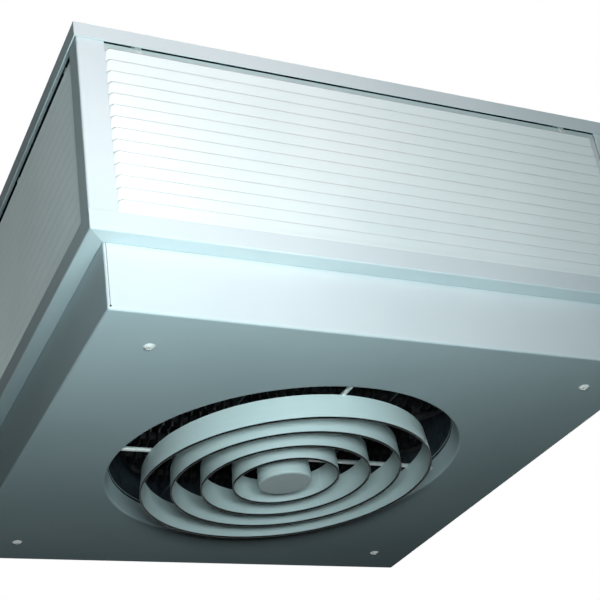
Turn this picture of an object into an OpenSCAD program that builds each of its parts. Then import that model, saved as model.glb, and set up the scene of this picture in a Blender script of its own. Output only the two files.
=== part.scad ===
// Ceiling mounted fan heater: a louvred square frame under the ceiling draws
// room air in at its sides, and a fan blows it down over finned elements and
// out through a ring diffuser in the face pan. Millimetres, +Z up. The origin
// is the middle of the ceiling face, so the heater hangs below z = 0.

/* [Sheet metal] */
// Thickness of the top plate, frame and deck
sheet = 1.2; // [0.9:0.1:1.6]
// Thickness of the face pan and the heater drum
pan_sheet = 1; // [0.8:0.1:1.3]
// Thickness of the louvre panels
louvre_sheet = 0.9; // [0.6:0.1:1.2]

/* [Top plate] */
// Side of the top plate over its turned-down rim
plate_side = 609.6; // [600:0.1:620]
// Depth of the turned-down rim
plate_rim = 16.3; // [14:0.1:18]
// Gap between the rim and the frame that stands inside it
rim_gap = 1.4; // [0.6:0.1:2]
// Distance of the ceiling bolt holes from the plate's sides
bolt_inset = 50.8; // [40:0.1:70]
// Radius of a ceiling bolt hole
bolt_hole_r = 4; // [3:0.1:6]
// Radius of the conduit hole
conduit_r = 11.1; // [8:0.1:14]
// Distance of the conduit hole from the middle, towards the rear
conduit_y = 150; // [100:1:200]

/* [Frame] */
// Height from the ceiling face to the underside of the ledge
frame_h = 224.3; // [220:0.1:235]
// Width of the ledge that shows round the pan
ledge_w = 15.9; // [12:0.1:18]
// Whole width of the ledge flange
flange_w = 32; // [30:0.5:38]
// Height of a bottom rail
rail_h = 19.7; // [18:0.1:24]
// Depth of the rail's top return
rail_return = 9; // [8.5:0.1:12]
// Width of a corner post on the front and rear
post_front_w = 26.3; // [24:0.1:30]
// Width of a corner post on the left and right
post_side_w = 22.1; // [20:0.1:26]
// Height that a post's joggled tab runs up behind the post
tab_rise = 10; // [6:0.5:14]
// Width that a post leaves free beside its tab, where a panel's end sits
tab_inset = 8; // [7:0.1:10]
// Side of the square tab that welds a post to the top plate
top_tab = 18; // [12:0.5:20]
// Open seam between two mitred rails
mitre_gap = 0.3; // [0.1:0.1:0.6]

/* [Louvre panels] */
// Distance from one louvre to the next
louvre_pitch = 12.95; // [12.5:0.05:13]
// Least gap between the lowest louvre and the bottom rail
louvre_foot_gap = 1.9; // [1:0.1:6]
// Distance that a louvre's lip stands out of the panel
louvre_rise = 5.5; // [4:0.1:6]
// Depth of the lips behind the outer face of the frame
lip_depth = 1.5; // [1.4:0.1:2.5]
// Height from the uppermost lip to the ceiling face
lip_top = 19.85; // [18:0.05:22]
// Height from the panel's upper edge to the ceiling face
panel_top = 12.8; // [9:0.1:14]
// Distance that a louvre's foot reaches below the next lip
louvre_lap = 0.8; // [0.3:0.1:1.5]
// Distance between a post's edge and the louvres' ends
louvre_end_gap = 2.1; // [1:0.1:3]
// Length of the slope that closes a louvre's end
louvre_end_slope = 2.3; // [1:0.1:4]
// Distance that a panel reaches behind a post
panel_lap = 5; // [4:0.1:6]
// Height of the hem along the panel's lower edge
hem_h = 5.4; // [4:0.1:6]
// Width of a panel clip
clip_w = 7; // [5:0.5:10]
// Thickness of a panel clip
clip_t = 1; // [0.8:0.1:1.5]
// Distance of the outer clips from the frame's corners
clip_inset = 62.2; // [50:0.1:90]
// Distance from the middle to the inner clips
clip_inner = 61; // [40:1:100]

/* [Face pan] */
// Depth of the face pan
pan_depth = 67.5; // [64:0.5:75]
// Outside bend radius along the pan's lower edges
pan_bend = 2.6; // [2:0.1:4]
// Distance of the corner seams from the pan's corners
seam_at = 3.6; // [3:0.1:5]
// Width of the corner seams
seam_w = 0.6; // [0.3:0.1:1]
// Radius of the relief notch at the foot of a seam
notch_r = 1.2; // [0.8:0.1:1.6]
// Distance of the face screws from the pan's sides
face_screw_inset = 54.3; // [47:0.1:61]
// Radius of a face screw's head
face_head_r = 5.4; // [4:0.1:6]
// Height of a face screw's head
face_head_h = 2.6; // [2:0.1:3.5]
// Radius of a face screw's shank
face_shank_r = 2.4; // [2:0.1:3]
// Width of a pan bracket
bracket_w = 26; // [20:1:32]
// Thickness of a pan bracket
bracket_t = 2; // [1.5:0.1:2.5]

/* [Diffuser] */
// Radius at which the flat face turns up into the outlet
outlet_r = 191.7; // [188:0.1:196]
// Outside radius of the turned-up lip
lip_bend = 7; // [5:0.5:9]
// Height of the outlet's collar
collar_h = 22; // [21:0.5:25]
// Outside radius of the largest diffuser ring
ring_r = 157; // [152:0.1:162]
// Distance from one ring to the next
ring_pitch = 33.2; // [30:0.1:34]
// Height of a ring
ring_h = 28; // [25:0.5:30]
// Thickness of a ring
ring_t = 1.6; // [1.2:0.1:2]
// Distance that the rings hang below the face
ring_drop = 16; // [13:0.1:18]
// Radius of the diffuser's hub
hub_r = 29.6; // [26:0.1:32]
// Radius of the hub's rounded lower edge
hub_round = 3; // [2:0.1:5]
// Radius of the spider's rods
rod_r = 2.4; // [2:0.1:2.8]
// Depth of the notches that seat the rods
rod_seat = 1; // [0.6:0.1:1.4]
// Thickness of a spider nut
rod_nut_h = 3.2; // [2.5:0.1:4]

/* [Fan deck and drum] */
// Distance that the deck's round inlet lies inside the outlet's collar
inlet_inset = 28.7; // [27:0.1:31]
// Height of the inlet's upright wall
inlet_h = 12; // [8:0.5:16]
// Radius of the inlet's rolled edge
inlet_roll = 5; // [3:0.5:6]
// Gap between the drum and the outlet's collar inside it
drum_gap = 0.5; // [0.3:0.1:0.8]
// Width of the flange that fixes the drum to the deck
drum_flange = 12; // [10:0.5:14]
// Radius of a sheet metal screw's shank
screw_r = 1.9; // [1.6:0.1:2.2]
// Length of a sheet metal screw's shank
screw_len = 8; // [6:0.5:10]

/* [Heating elements] */
// Distance between neighbouring legs of the elements
leg_pitch = 44; // [40:0.5:45]
// Radius of the sheathed tube
tube_r = 4; // [3.5:0.1:4.5]
// Radius of the fins
fin_r = 12; // [10:0.5:13]
// Thickness of a fin
fin_t = 0.8; // [0.6:0.1:1]
// Distance from one fin to the next
fin_pitch = 10; // [8:0.5:11]
// Depth of the elements below the deck
element_drop = 28; // [27:0.5:31]
// Centre line radius of the bend below a terminal
elbow_r = 10; // [8:0.5:12]
// Gap between the inlet's rolled edge and the terminals' circle
terminal_gap = 6; // [5:0.5:7]
// Height of a terminal above the deck
terminal_h = 22; // [19:0.5:26]
// Thickness of the straps that carry the elements
strap_t = 1.5; // [1:0.1:2]

/* [Fan and motor] */
// Gap between the blade tips and the inlet
tip_gap = 6; // [4:0.5:14]
// Thickness of a fan blade
blade_t = 1.5; // [1:0.1:2]
// Pitch of the blades
blade_angle = 20; // [14:1:22]
// Half of the angle that a blade spans
blade_half = 19; // [14:1:20]
// Camber radius of a blade
blade_camber = 130; // [110:1:180]
// Height of the fan's middle above the deck
fan_lift = 12; // [10:0.5:14]
// Radius of the motor
motor_r = 46; // [40:0.5:50]
// Length of the motor
motor_len = 80; // [74:1:100]
// Gap between the blades and the motor bracket above them
motor_gap = 4; // [3:0.5:8]
// Radius of the motor shaft
shaft_r = 4; // [3:0.1:5]
// Outer radius of a motor bearing
bearing_r = 11; // [10:0.5:13]
// Height of a motor bearing
bearing_h = 8; // [6:0.5:10]
// Running clearance of the shaft in its bearings
run_gap = 0.05; // [0.02:0.01:0.08]
// Width of the motor bracket's arms
arm_w = 18; // [14:0.5:20]
// Thickness of the motor bracket
arm_t = 2.5; // [2:0.1:3]
// Gap between the inlet's rolled edge and the bracket's legs
leg_gap = 6; // [4:0.5:8]
// Angle of the bracket's arms from the left and right
arm_angle = 31; // [29:1:33]

/* [Controls] */
// Width of the control box
box_w = 150; // [140:1:170]
// Depth of the control box, front to rear
box_d = 80; // [74:1:84]
// Height of the control box
box_h = 75; // [70:1:90]
// Gap between the control box and the frame's rear face
box_rear_gap = 19.2; // [16:0.1:22]
// Height of the contactor's body
contactor_h = 46; // [40:1:50]
// Travel of the contactor's push bar
plunger_travel = 3; // [2:0.1:4]
// Radius of the thermal cut-out's housing
cutout_r = 8.5; // [8:0.1:9]
// Height of the cut-out's housing above the deck
cutout_up = 11.5; // [10:0.5:12]
// Angle of the cut-outs from the right
cutout_angle = 12; // [8:1:16]
// Radius of the reset button
button_r = 2.5; // [2:0.1:3]
// Travel of the reset button
button_travel = 2; // [1.5:0.1:2.5]
// Radius of an insulated lead
lead_r = 1.6; // [1.2:0.1:2]

/* [Hidden] */
$fn = 64;

// colours, as the photograph shows them
enamel = [0.86, 0.87, 0.88];
louvre_white = [0.92, 0.95, 0.94];
pan_grey = [0.62, 0.70, 0.71];
ring_grey = [0.66, 0.74, 0.74];
galvanised = [0.62, 0.65, 0.67];
steel = [0.70, 0.71, 0.73];
dark_steel = [0.30, 0.31, 0.33];
aluminium = [0.78, 0.79, 0.81];
moulding = [0.12, 0.12, 0.13];

eps = 0.01;
joint_gap = 0.03;                        // between pieces that are pressed together
seat_gap = 0.3;                          // between a loose piece and its seat
bore_gap = 0.1;                          // round a screw or tube in its hole

frame_half = plate_side / 2 - sheet - rim_gap;
clip_outer = frame_half - clip_inset;
pan_half = frame_half - ledge_w;
z_ledge = -frame_h;
z_rail_top = z_ledge + rail_h;
louvre_room = frame_h - rail_h - lip_top - louvre_lap - louvre_foot_gap;
louvre_count = floor(louvre_room / louvre_pitch);
z_deck0 = z_ledge + sheet;               // underside of the deck
z_deck1 = z_deck0 + sheet;               // top of the deck
z_face = z_ledge - pan_depth;
z_pan_in = z_face + pan_sheet;
z_ring_top = z_face - ring_drop + ring_h;
z_rod = z_ring_top + rod_r - rod_seat;
deck_half = frame_half - 2 * sheet - 2 * seat_gap;
collar_in = outlet_r - lip_bend;
collar_out = collar_in + pan_sheet;
drum_in = collar_out + drum_gap;
drum_out = drum_in + pan_sheet;
rod_nut_r = rod_r + 2;
z_drum0 = z_rod + rod_nut_r + 1;         // lower edge of the drum, just above the nuts
face_screw_at = pan_half - face_screw_inset;

inlet_r = collar_in - inlet_inset;
roll_out = inlet_r + 2 * inlet_roll;     // outside of the inlet's rolled edge
terminal_ring = roll_out + terminal_gap;
leg_ring = roll_out + leg_gap;

// sheet metal screw head
head_r = screw_r + 2.1;
head_h = 2;
rail_screw_inset = 8;                    // from the flange's inner edge
rail_screw_y = frame_half - flange_w + rail_screw_inset;
rail_screw_end = 87.2;                   // from the frame's corners
rail_screw_mid = 100;                    // from the middle
rail_screw_out = frame_half - rail_screw_end;
rail_screw_x = [-rail_screw_out, -rail_screw_mid, rail_screw_mid, rail_screw_out];
drum_screw_r = drum_out + drum_flange / 2;
drum_screw_angle = 55;
foot_reach = drum_screw_r + head_r + 2;

// heating elements
z_element = z_deck0 - element_drop;
leg_y = [for (i = [0 : 5]) (i - 2.5) * leg_pitch];
bend_gap = 2;                            // between a return bend and the drum
fin_gap = 3;                             // from a fin to the drum or a bend
bend_room = drum_in - tube_r - bend_gap;
strap_at = 8 * fin_pitch;                // midway between two fins
element_nut_r = tube_r + 3;
element_nut_h = 6;
z_sheath_top = z_deck1 + element_nut_h + 5;

// fan and motor
fan_r = inlet_r - tip_gap;
z_fan = z_deck1 + fan_lift;
blade_rise = blade_t + blade_camber * cos(blade_angle) - sqrt(pow(blade_camber, 2)
    - pow(fan_r * sin(blade_half) + blade_camber * sin(blade_angle), 2));
z_motor0 = z_fan + blade_rise + motor_gap + arm_t;
z_motor1 = z_motor0 + motor_len;
fan_hub_r = shaft_r + 8;
fan_hub_down = 16;                       // below the fan's middle
fan_hub_up = 12;
fan_flange_w = 7;
fan_flange_t = 3;
fan_disc_r = 44;
fan_disc_t = 2.5;
fan_disc_down = fan_disc_t / 2 + 1;
fan_arm_in = 14;                         // under the disc
fan_arm_out = 36;                        // under the blade
fan_arm_w = 24;
fan_arm_t = 2;
blade_gap = 3;                           // between the disc and the blades
shaft_tail = 18;                         // below the fan's middle
motor_wall = 1.5;
motor_cap = 3;
bearing_wall = 3;
stator_in = 24.5;
air_gap = 0.5;
motor_bolt_ring = motor_r - 8;
motor_bolt_r = 2;
stator_room = 7;                         // between a bearing seat and the stator
stator_h = motor_len - 2 * (bearing_h + bearing_wall + stator_room);
z_bearing_low = z_motor0 + motor_cap;
z_bearing_top = z_motor1 - motor_wall - bearing_h;
z_rotor = z_motor0 + (motor_len - stator_h) / 2;

// controls
box_y = frame_half - box_rear_gap - box_d;
box_floor = z_deck1 + sheet;
z_box_top = z_deck1 + box_h;
box_tab = 12;
cover_rim = 10;
contactor_w = 44;
contactor_d = 58;
box_margin = 10;                         // from the box's side to what it holds
contactor_x = -box_w / 2 + box_margin;
contactor_y = box_y + (box_d - contactor_d) / 2;
plunger_w = 10;
plunger_d = 24;
plunger_up = 6;
plunger_in = 12;
lead_hole_up = 45;
z_lead_hole = z_deck1 + lead_hole_up;
lead_run = 60;                           // straight run before a lead bends
block_w = 62;
block_d = 26;
block_h = 18;
block_x = box_w / 2 - box_margin - block_w;
block_y = box_y + box_d / 2 - block_d / 2;
cutout_ring = (roll_out + drum_in) / 2;
cutout_flange = cutout_r + 3;
cutout_down = 9;
button_up = 4;
button_in = 6;

// ---------------------------------------------------------------- helpers

// mirrors its children, drawn for the rear right corner, to another corner
module corner(sx, sy) {
    mirror([sx < 0 ? 1 : 0, 0, 0]) mirror([0, sy < 0 ? 1 : 0, 0]) children();
}

module four_corners(at) {
    for (sx = [-1, 1], sy = [-1, 1]) translate([sx * at, sy * at, 0]) children();
}

// block between two opposite corners
module block(a, b) {
    translate(a) cube(b - a);
}

// shank with a flat head on top, its seat at z = 0
module sheet_screw() {
    cylinder(r = head_r, h = head_h);
    translate([0, 0, -screw_len]) cylinder(r = screw_r, h = screw_len + eps);
}

// places of the sheet metal screws, on top of the deck
module deck_screw_places() {
    for (turn = [0 : 90 : 270], x = rail_screw_x) rotate(turn)
        translate([x, rail_screw_y, z_deck1]) children();
    four_corners(face_screw_at) translate([0, 0, z_deck1]) children();
    for (side = [0, 180], turn = [-drum_screw_angle, drum_screw_angle]) rotate(side + turn)
        translate([drum_screw_r, 0, z_deck1]) children();
}

function unit(v) = v / norm(v);

// insulated lead as one swept tube of eight sides, mitred where it turns
module lead(points) {
    sides = 8;
    last = len(points) - 1;
    side_hint = [0.35, 1, 0.2];
    ways = [for (i = [0 : last]) unit(
        (i > 0 ? unit(points[i] - points[i - 1]) : [0, 0, 0])
        + (i < last ? unit(points[i + 1] - points[i]) : [0, 0, 0]))];
    rings = [for (i = [0 : last]) let (u = unit(cross(ways[i], side_hint)), v = cross(ways[i], u))
        for (k = [0 : sides - 1]) points[i] + lead_r * (cos(360 * k / sides) * u + sin(360 * k / sides) * v)];
    faces = concat([[for (k = [0 : sides - 1]) k]],
        [for (i = [0 : last - 1], k = [0 : sides - 1]) let (n = (k + 1) % sides)
            [i * sides + k, (i + 1) * sides + k, (i + 1) * sides + n, i * sides + n]],
        [[for (k = [sides - 1 : -1 : 0]) last * sides + k]]);
    polyhedron(rings, faces);
}

// ---------------------------------------------------------------- top plate and frame

module ceiling_plate() {
    half = plate_side / 2;
    color(enamel) difference() {
        block([-half, -half, -plate_rim], [half, half, 0]);
        block([-half + sheet, -half + sheet, -plate_rim - 1], [half - sheet, half - sheet, -sheet]);
        four_corners(half - bolt_inset) translate([0, 0, -sheet - 1])
            cylinder(r = bolt_hole_r, h = sheet + 2);
        translate([0, conduit_y, -sheet - 1]) cylinder(r = conduit_r, h = sheet + 2);
    }
}

// angle section with its outer corner at (c, c)
module angle_post(c, long, short, z0, z1) {
    block([c - long, c - sheet, z0], [c, c, z1]);
    block([c - sheet, c - short, z0], [c, c, z1]);
}

// the post stands on the rails, and its joggled tab reaches down inside them
module corner_post(sx, sy) {
    inner = frame_half - sheet;
    color(enamel) corner(sx, sy) {
        angle_post(frame_half, post_front_w, post_side_w, z_rail_top, -sheet);
        angle_post(inner, post_front_w - sheet - tab_inset, post_side_w - sheet - tab_inset,
            z_deck0, z_rail_top + tab_rise);
        block([inner - top_tab, inner - top_tab, -2 * sheet], [inner + eps, inner + eps, -sheet]);
    }
}

// rail along the rear, mitred at both ends; turned to the other sides
module bottom_rail(turn, post_w) {
    reach = frame_half - post_w - seat_gap;
    wedge = frame_half - mitre_gap / 2;
    color(enamel) rotate(turn) difference() {
        intersection() {
            union() {
                block([-frame_half, frame_half - sheet, z_ledge], [frame_half, frame_half, z_rail_top]);
                block([-frame_half, frame_half - flange_w, z_ledge], [frame_half, frame_half, z_deck0]);
                block([-reach, frame_half - rail_return, z_rail_top - sheet],
                    [reach, frame_half, z_rail_top]);
            }
            translate([0, 0, z_ledge - 1]) linear_extrude(rail_h + 2)
                polygon([[0, mitre_gap / 2], [wedge, frame_half], [wedge, frame_half + 1],
                    [-wedge, frame_half + 1], [-wedge, frame_half]]);
        }
        for (x = rail_screw_x) translate([x, rail_screw_y, z_ledge - 1])
            cylinder(r = screw_r + bore_gap, h = sheet + 2);
    }
}

// ---------------------------------------------------------------- louvre panels

// section of one louvre: depth behind the frame's face, height of its lip
function louvre_section(z) = [
    [lip_depth, z], [lip_depth + louvre_rise, z - louvre_pitch - louvre_lap],
    [lip_depth + louvre_rise + louvre_sheet, z - louvre_pitch - louvre_lap],
    [lip_depth + louvre_sheet, z]];
function louvre_cheek(z) = [
    [lip_depth + eps, z], [lip_depth + louvre_rise + eps, z - louvre_pitch - louvre_lap],
    [lip_depth + louvre_rise + eps, z]];

// upright prism whose plan narrows from the panel to the lips
module louvre_plan(half, inset) {
    foot = half + 0.6 - inset;
    plane = frame_half - lip_depth;
    translate([0, 0, -frame_h]) linear_extrude(frame_h)
        polygon([[-foot, plane - louvre_rise - louvre_sheet], [foot, plane - louvre_rise - louvre_sheet],
            [foot - louvre_end_slope, plane + eps], [-foot + louvre_end_slope, plane + eps]]);
}

// sections drawn as (depth, height), run along the panel
module along_panel(half) {
    translate([half, frame_half, 0]) rotate([90, 0, -90]) linear_extrude(2 * half) children();
}

// panel for the rear, turned to the other sides: lanced louvres in a plain
// border, with its ends turned out against the posts and a hem at its foot
module louvre_panel(turn, post_w) {
    half = frame_half - post_w + panel_lap;
    field = frame_half - post_w - louvre_end_gap;
    front = frame_half - lip_depth - louvre_rise;
    back = front - louvre_sheet;
    lips = [for (i = [0 : louvre_count - 1]) -lip_top - i * louvre_pitch];
    field_foot = lips[louvre_count - 1] - louvre_pitch - louvre_lap + 0.3;
    color(louvre_white) rotate(turn) {
        difference() {
            block([-half, back, z_rail_top], [half, front, -panel_top]);
            block([-field, back - 1, field_foot], [field, front + 1, -lip_top]);
        }
        for (side = [-1, 1]) translate([side * (half - louvre_sheet / 2), 0, 0])
            block([-louvre_sheet / 2, back, z_rail_top], [louvre_sheet / 2, frame_half - sheet, -panel_top]);
        block([-half + panel_lap, front - eps, z_rail_top],
            [half - panel_lap, frame_half - lip_depth, z_rail_top + louvre_sheet]);
        block([-half + panel_lap, frame_half - lip_depth - louvre_sheet, z_rail_top],
            [half - panel_lap, frame_half - lip_depth, z_rail_top + hem_h]);
        intersection() {
            along_panel(half) for (z = lips) polygon(louvre_section(z));
            louvre_plan(field, 0);
        }
        intersection() {
            along_panel(half) for (z = lips) polygon(louvre_cheek(z));
            difference() {
                louvre_plan(field, 0);
                louvre_plan(field, louvre_sheet);
            }
        }
    }
}

// spring clips, welded under the top plate and hooked over the panels' upper
// edges: two at the front and rear, four at the left and right
module louvre_clips() {
    front = frame_half - lip_depth - louvre_rise;
    back = front - louvre_sheet;
    back_drop = 6;
    hook_drop = 4;
    foot = 10;
    color(steel) for (turn = [0 : 90 : 270], x = turn % 180 == 0 ? [-clip_outer, clip_outer]
            : [-clip_outer, -clip_inner, clip_inner, clip_outer])
        rotate(turn) translate([x - clip_w / 2, 0, 0]) {
            block([0, back - clip_t, -panel_top - back_drop], [clip_w, back, -sheet]);
            block([0, back - foot, -sheet - clip_t], [clip_w, back, -sheet]);
            block([0, back - clip_t, -panel_top], [clip_w, front + clip_t, -panel_top + clip_t]);
            block([0, front, -panel_top - hook_drop], [clip_w, front + clip_t, -panel_top + clip_t]);
        }
}

// ---------------------------------------------------------------- face pan

// outline of the pan across one direction, with bent lower corners
module pan_section(half, floor_z, bend) {
    translate([-half, floor_z + bend]) square([2 * half, z_ledge - floor_z - bend]);
    translate([-half + bend, floor_z]) square([2 * (half - bend), bend + eps]);
    for (side = [-1, 1]) translate([side * (half - bend), floor_z + bend]) circle(r = bend);
}

module pan_body(half, floor_z, bend) {
    intersection() {
        translate([0, half, 0]) rotate([90, 0, 0])
            linear_extrude(2 * half) pan_section(half, floor_z, bend);
        translate([-half, 0, 0]) rotate([90, 0, 90])
            linear_extrude(2 * half) pan_section(half, floor_z, bend);
    }
}

// the drawn outlet: the face rolls up into a short collar
module outlet_lip() {
    steps = 8;
    outer = [for (i = [0 : steps]) [outlet_r - lip_bend * sin(90 * i / steps),
        lip_bend * (1 - cos(90 * i / steps))]];
    inner = [for (i = [steps : -1 : 0]) [outlet_r - (lip_bend - pan_sheet) * sin(90 * i / steps),
        lip_bend - (lip_bend - pan_sheet) * cos(90 * i / steps)]];
    translate([0, 0, z_face]) rotate_extrude($fn = 128)
        polygon(concat([[outlet_r + 1, 0]], outer, [[collar_in, collar_h], [collar_out, collar_h]],
            inner, [[outlet_r + 1, pan_sheet]]));
}

module rods(r, reach) {
    for (turn = [0, 90]) rotate(turn) translate([-reach, 0, z_rod]) rotate([0, 90, 0])
        cylinder(r = r, h = 2 * reach);
}

module face_pan() {
    color(pan_grey) difference() {
        union() {
            difference() {
                pan_body(pan_half, z_face, pan_bend);
                pan_body(pan_half - pan_sheet, z_pan_in, pan_bend - pan_sheet);
                block([-pan_half + pan_sheet, -pan_half + pan_sheet, z_ledge - 1],
                    [pan_half - pan_sheet, pan_half - pan_sheet, z_ledge + 1]);
                translate([0, 0, z_face - 1]) cylinder(r = outlet_r, h = pan_sheet + 2, $fn = 128);
            }
            outlet_lip();
        }
        four_corners(face_screw_at) translate([0, 0, z_face - 1])
            cylinder(r = face_shank_r + bore_gap, h = pan_sheet + 2);
        rods(rod_r + bore_gap, collar_out + 1);
        for (sx = [-1, 1], sy = [-1, 1]) corner(sx, sy) {
            block([pan_half - seam_at - seam_w, pan_half - pan_sheet - eps, z_face + pan_bend + notch_r],
                [pan_half - seam_at, pan_half + 1, z_ledge + 1]);
            translate([pan_half - seam_at - seam_w / 2, pan_half - pan_sheet - eps,
                z_face + pan_bend + notch_r]) rotate([-90, 0, 0]) cylinder(r = notch_r, h = pan_sheet + 2);
        }
    }
}

// domed cross-recess screws that hold the pan to its brackets
module face_screws() {
    dome = (pow(face_head_r, 2) + pow(face_head_h, 2)) / (2 * face_head_h);
    recess_r = face_head_r * 0.55;
    recess_w = face_head_r / 4.5;
    face_shank_len = pan_sheet + bracket_t + 4;
    color(steel) four_corners(face_screw_at) translate([0, 0, z_face]) {
        difference() {
            intersection() {
                translate([0, 0, dome - face_head_h]) sphere(r = dome);
                translate([0, 0, -face_head_h]) cylinder(r = face_head_r, h = face_head_h);
            }
            for (turn = [45, 135]) rotate(turn)
                block([-recess_r, -recess_w / 2, -face_head_h - 1],
                    [recess_r, recess_w / 2, -face_head_h / 2]);
        }
        translate([0, 0, -eps]) cylinder(r = face_shank_r, h = face_shank_len);
    }
}

// channel from the deck down to the pan's face, tapped for the face screw
module pan_bracket(sx, sy) {
    inner = face_screw_at - bracket_w / 2;
    outer = face_screw_at + bracket_w / 2;
    color(galvanised) corner(sx, sy) difference() {
        union() {
            block([inner, inner, z_pan_in], [outer, outer, z_pan_in + bracket_t]);
            block([inner, inner, z_deck0 - bracket_t], [outer, outer, z_deck0]);
            block([inner, inner, z_pan_in], [inner + bracket_t, outer, z_deck0]);
        }
        translate([face_screw_at, face_screw_at, z_pan_in - 1])
            cylinder(r = face_shank_r + joint_gap, h = bracket_t + 2);
        translate([face_screw_at, face_screw_at, z_deck0 - bracket_t - 1])
            cylinder(r = screw_r + joint_gap, h = bracket_t + 2);
    }
}

// ---------------------------------------------------------------- diffuser

module diffuser_ring(index) {
    r = ring_r - (index - 1) * ring_pitch;
    color(ring_grey) difference() {
        translate([0, 0, z_ring_top - ring_h]) cylinder(r = r, h = ring_h, $fn = 128);
        translate([0, 0, z_ring_top - ring_h - 1]) cylinder(r = r - ring_t, h = ring_h + 2, $fn = 128);
        rods(rod_r + joint_gap, r + 1);
    }
}

// inverted cup under the crossing of the rods
module diffuser_hub() {
    z0 = z_ring_top - ring_h - 1;
    steps = 6;
    function rounding(r, floor_z, bend) = [for (i = [0 : steps])
        [r - bend + bend * sin(90 * i / steps), floor_z + bend - bend * cos(90 * i / steps)]];
    color(ring_grey) difference() {
        rotate_extrude() polygon(concat([[0, z0]], rounding(hub_r, z0, hub_round),
            [[hub_r, z_ring_top], [0, z_ring_top]]));
        rotate_extrude() polygon(concat([[0, z0 + ring_t]],
            rounding(hub_r - ring_t, z0 + ring_t, hub_round - ring_t / 2),
            [[hub_r - ring_t, z_ring_top + 1], [0, z_ring_top + 1]]));
        rods(rod_r + joint_gap, hub_r + 1);
    }
}

// welded cross of two rods that carries the rings and the hub
module diffuser_spider() {
    color(steel) rods(rod_r, collar_out + rod_nut_h + 1.5);
}

module spider_nuts() {
    color(steel) for (turn = [0 : 90 : 270]) rotate(turn)
        translate([collar_out + joint_gap, 0, z_rod]) rotate([0, 90, 0]) difference() {
            cylinder(r = rod_nut_r, h = rod_nut_h, $fn = 6);
            translate([0, 0, -1]) cylinder(r = rod_r + joint_gap, h = rod_nut_h + 2);
        }
}

// ---------------------------------------------------------------- deck and drum

// upright points where the six element terminals pass the deck
module terminal_places() {
    for (y = leg_y) translate([-sqrt(terminal_ring * terminal_ring - y * y), y, 0]) children();
}

module cutout_place(side) {
    rotate(side * cutout_angle) translate([cutout_ring, 0, 0]) children();
}

// turns its children, drawn for the right, to the motor bracket's arms
module arm_turns() {
    for (side = [0, 180], turn = [-arm_angle, arm_angle]) rotate(side + turn) children();
}

module foot_places() {
    arm_turns() translate([drum_screw_r, 0, 0]) children();
}

module box_screw_places() {
    for (x = [-1, 1]) translate([x * (box_w / 2 - box_tab / 2 - sheet), box_y + box_d / 2, 0]) children();
}

// plate across the frame, with a round inlet that the fan turns in
module fan_deck() {
    wall_top = z_deck1 + inlet_h;
    color(galvanised) difference() {
        union() {
            block([-deck_half, -deck_half, z_deck0], [deck_half, deck_half, z_deck1]);
            translate([0, 0, z_deck0]) cylinder(r = inlet_r + sheet, h = wall_top - z_deck0, $fn = 128);
            translate([0, 0, wall_top]) intersection() {
                rotate_extrude($fn = 128) translate([inlet_r + inlet_roll, 0]) difference() {
                    circle(r = inlet_roll);
                    circle(r = inlet_roll - sheet);
                }
                cylinder(r = inlet_r + 2 * inlet_roll, h = inlet_roll + 1, $fn = 128);
            }
        }
        translate([0, 0, z_deck0 - 1]) cylinder(r = inlet_r, h = inlet_h + inlet_roll + 5, $fn = 128);
        deck_screw_places() translate([0, 0, -screw_len]) cylinder(r = screw_r + bore_gap, h = screw_len + 1);
        foot_places() translate([0, 0, z_deck0 - 1]) cylinder(r = screw_r + bore_gap, h = sheet + 2);
        terminal_places() translate([0, 0, z_deck0 - 1]) cylinder(r = tube_r + bore_gap, h = sheet + 2);
        for (side = [-1, 1]) cutout_place(side) translate([0, 0, z_deck0 - 1])
            cylinder(r = cutout_r - 1 + bore_gap, h = sheet + 2);
    }
}

module heater_drum() {
    color(galvanised) difference() {
        union() {
            translate([0, 0, z_drum0]) cylinder(r = drum_out, h = z_deck0 - z_drum0, $fn = 128);
            translate([0, 0, z_deck0 - pan_sheet])
                cylinder(r = drum_out + drum_flange, h = pan_sheet, $fn = 128);
        }
        translate([0, 0, z_drum0 - 1]) cylinder(r = drum_in, h = z_deck0 - z_drum0 + 2, $fn = 128);
        deck_screw_places() translate([0, 0, -screw_len - 1]) cylinder(r = screw_r + bore_gap, h = screw_len);
        foot_places() translate([0, 0, z_deck0 - screw_len])
            cylinder(r = screw_r + bore_gap, h = screw_len + 1);
    }
}

// one size of pan head screw fixes the deck, drum, brackets and box cover
module sheet_screws() {
    color(steel) {
        deck_screw_places() sheet_screw();
        foot_places() translate([0, 0, z_deck1 + arm_t]) sheet_screw();
        box_screw_places() translate([0, 0, z_box_top + sheet]) sheet_screw();
    }
}

// ---------------------------------------------------------------- heating elements

// half section of a finned leg that runs from x0 to x1, with fins between the
// straps' places
function finned(x0, x1, first, last) = concat([[0, x0], [tube_r, x0]],
    [for (i = [first : last]) each [
        [tube_r, (i + 0.5) * fin_pitch - fin_t / 2], [fin_r, (i + 0.5) * fin_pitch - fin_t / 2],
        [fin_r, (i + 0.5) * fin_pitch + fin_t / 2], [tube_r, (i + 0.5) * fin_pitch + fin_t / 2]]],
    [[tube_r, x1], [0, x1]]);

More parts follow.
